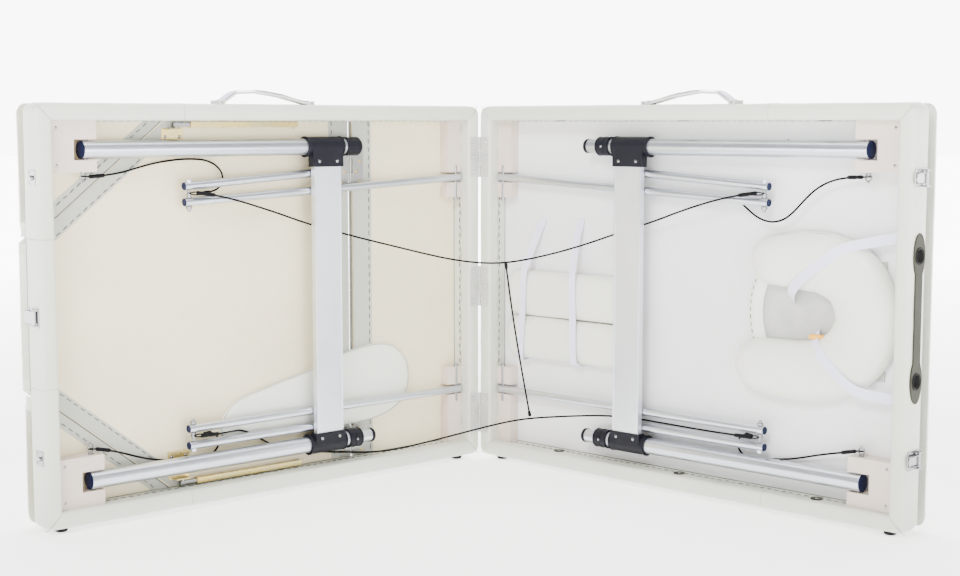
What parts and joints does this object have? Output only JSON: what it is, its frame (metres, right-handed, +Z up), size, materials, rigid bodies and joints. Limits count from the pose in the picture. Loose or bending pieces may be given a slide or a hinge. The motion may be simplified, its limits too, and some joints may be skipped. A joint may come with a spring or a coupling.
{
  "type": "portable folding massage table",
  "caption": "Two-part folding massage table on its side, half open, with telescopic legs, cable bracing, a lifting backrest and stored face cradle, bolster and arm pad.",
  "frame": {"origin": "on the floor under the middle of the standing table", "axes": "+Z up; the table stands on one long side on its rubber feet; the fold's pin runs along +Z at the back (+Y); both halves open towards -Y, the backrest half towards -X and the face-cradle half towards +X"},
  "size_m": [1.5037, 0.7081, 0.733],
  "materials": {
    "ivory_leather": "soft satin polyurethane leather",
    "cream_ply": "smooth painted or laminated plywood",
    "white_ply": "smooth white plywood",
    "beige_blocks": "painted hardwood",
    "zinc_bolts": "zinc plated",
    "steel_hinges": "nickel plated",
    "ivory_leaves": "ivory powder coat",
    "aluminium_tube": "satin anodised",
    "dark_plastic": "moulded",
    "navy_plugs": "moulded",
    "gold_zinc": "yellow zinc plated",
    "bright_steel": "drawn steel",
    "chrome_hardware": "polished",
    "white_handle": "soft webbing in moulded ends",
    "dark_rubber": "moulded",
    "pale_platform": "moulded",
    "white_elastic": "woven elastic",
    "olive_plastic": "moulded",
    "black_coated_wire": "coated steel wire rope"
  },
  "bodies": {
    "left": {"left_rails": "ivory_leather", "left_panels": "cream_ply", "seat_cushion": "ivory_leather", "corner_pads": "ivory_leather", "left_blocks": "beige_blocks", "left_bolts": "zinc_bolts", "left_fold_leaves": "ivory_leaves", "back_leaves_fixed": "steel_hinges", "left_end_hardware": "chrome_hardware", "left_handle": "white_handle", "left_bumpers": "dark_rubber", "arm_pads": "ivory_leather", "top_cable": "black_coated_wire", "bottom_cable": "black_coated_wire", "cross_cable": "black_coated_wire", "left_upper_cable": "black_coated_wire", "left_lower_cable": "black_coated_wire"},
    "right": {"right_rails": "ivory_leather", "right_panel": "white_ply", "head_cushion": "ivory_leather", "right_blocks": "beige_blocks", "right_bolts": "zinc_bolts", "right_fold_leaves": "ivory_leaves", "right_latch_bases": "chrome_hardware", "right_handle": "white_handle", "right_bumpers": "dark_rubber", "bolster": "ivory_leather", "cradle_pad": "ivory_leather", "cradle_platform": "pale_platform", "straps": "white_elastic", "grip_plate_and_grommets": "olive_plastic", "right_upper_cable": "black_coated_wire", "right_lower_cable": "black_coated_wire"},
    "backrest": {"back_panel": "cream_ply", "back_cushion": "ivory_leather", "back_leaves_moving": "steel_hinges", "support_plates": "gold_zinc"},
    "left_legs": {"left_leg_tubes": "aluminium_tube", "left_leg_plugs": "navy_plugs", "left_connectors": "dark_plastic", "left_crossbar": "aluminium_tube"},
    "right_legs": {"right_leg_tubes": "aluminium_tube", "right_leg_plugs": "navy_plugs", "right_connectors": "dark_plastic", "right_crossbar": "aluminium_tube"},
    "left_upper_foot": {"left_upper_foot": "aluminium_tube"},
    "left_lower_foot": {"left_lower_foot": "aluminium_tube"},
    "right_upper_foot": {"right_upper_foot": "aluminium_tube"},
    "right_lower_foot": {"right_lower_foot": "aluminium_tube"},
    "left_long": {"left_long_struts": "aluminium_tube", "left_knee_bolts": "zinc_bolts"},
    "right_long": {"right_long_struts": "aluminium_tube", "right_knee_bolts": "zinc_bolts"},
    "left_short": {"left_short_struts": "aluminium_tube"},
    "right_short": {"right_short_struts": "aluminium_tube"},
    "support_arms": {"support_channels": "gold_zinc"},
    "support_slides": {"support_slides": "bright_steel"},
    "upper_latch_lever": {"upper_latch_lever": "chrome_hardware"},
    "lower_latch_lever": {"lower_latch_lever": "chrome_hardware"},
    "backrest_latch_lever": {"backrest_latch_lever": "chrome_hardware"}
  },
  "joints": [
    {"name": "fold", "type": "hinge", "parent": "left", "child": "right", "pos_m": [0, 0.288, 0.35], "axis": [0, 0, 1], "range_deg": [-95, 85], "deforming": ["top_cable", "bottom_cable", "cross_cable"]},
    {"name": "left_legs_swing", "type": "hinge", "parent": "left", "child": "left_legs", "pos_m": [-0.64195, -0.26959, 0.356], "axis": [0, 0, -1], "range_deg": [0, 85], "deforming": ["left_upper_cable", "left_lower_cable"]},
    {"name": "right_legs_swing", "type": "hinge", "parent": "right", "child": "right_legs", "pos_m": [0.64195, -0.26959, 0.356], "axis": [0, 0, 1], "range_deg": [0, 85], "deforming": ["right_upper_cable", "right_lower_cable"]},
    {"name": "left_long_swing", "type": "hinge", "parent": "left", "child": "left_long", "pos_m": [-0.04746, 0.28059, 0.356], "axis": [0, 0, 1], "range_deg": [0, 33.26]},
    {"name": "left_short_swing", "type": "hinge", "parent": "left_legs", "child": "left_short", "pos_m": [-0.27749, 0.0698, 0.356], "axis": [0, 0, -1], "range_deg": [0, 61.78]},
    {"name": "left_upper_foot_slide", "type": "slide", "parent": "left_legs", "child": "left_upper_foot", "axis": [0.7373, 0.6756, 0], "range_m": [0, 0.18]},
    {"name": "left_lower_foot_slide", "type": "slide", "parent": "left_legs", "child": "left_lower_foot", "axis": [0.7373, 0.6756, 0], "range_m": [0, 0.15]},
    {"name": "right_long_swing", "type": "hinge", "parent": "right", "child": "right_long", "pos_m": [0.04746, 0.28059, 0.356], "axis": [0, 0, -1], "range_deg": [0, 33.26]},
    {"name": "right_short_swing", "type": "hinge", "parent": "right_legs", "child": "right_short", "pos_m": [0.27749, 0.0698, 0.356], "axis": [0, 0, 1], "range_deg": [0, 61.78]},
    {"name": "right_upper_foot_slide", "type": "slide", "parent": "right_legs", "child": "right_upper_foot", "axis": [-0.7373, 0.6756, 0], "range_m": [0, 0.15]},
    {"name": "right_lower_foot_slide", "type": "slide", "parent": "right_legs", "child": "right_lower_foot", "axis": [-0.7373, 0.6756, 0], "range_m": [0, 0.15]},
    {"name": "backrest_lift", "type": "hinge", "parent": "left", "child": "backrest", "pos_m": [-0.24268, 0.12951, 0.356], "axis": [0, 0, -1], "range_deg": [0, 60]},
    {"name": "support_arms_swing", "type": "hinge", "parent": "left", "child": "support_arms", "pos_m": [-0.33641, 0.03345, 0.356], "axis": [0, 0, -1], "range_deg": [0, 79.33]},
    {"name": "support_slides_draw", "type": "slide", "parent": "support_arms", "child": "support_slides", "axis": [-0.7373, -0.6756, 0], "range_m": [0, 0.09262]},
    {"name": "upper_latch_lever_turn", "type": "hinge", "parent": "right", "child": "upper_latch_lever", "pos_m": [0.72557, -0.32858, 0.589], "axis": [0, 0, 1], "range_deg": [0, 80]},
    {"name": "lower_latch_lever_turn", "type": "hinge", "parent": "right", "child": "lower_latch_lever", "pos_m": [0.72557, -0.32858, 0.13], "axis": [0, 0, 1], "range_deg": [0, 80]},
    {"name": "backrest_latch_lever_turn", "type": "hinge", "parent": "left", "child": "backrest_latch_lever", "pos_m": [-0.71237, -0.34225, 0.362], "axis": [0, 0, 1], "range_deg": [0, 80]}
  ],
  "couplings": [
    {"joint": "left_long_swing", "follows": "left_legs_swing", "ratio": 0.39103},
    {"joint": "left_short_swing", "follows": "left_legs_swing", "ratio": 0.72662},
    {"joint": "right_long_swing", "follows": "right_legs_swing", "ratio": 0.39103},
    {"joint": "right_short_swing", "follows": "right_legs_swing", "ratio": 0.72662},
    {"joint": "support_arms_swing", "follows": "backrest_lift", "ratio": 1.3218},
    {"joint": "support_slides_draw", "follows": "backrest_lift", "m_per_rad": 0.088426}
  ]
}
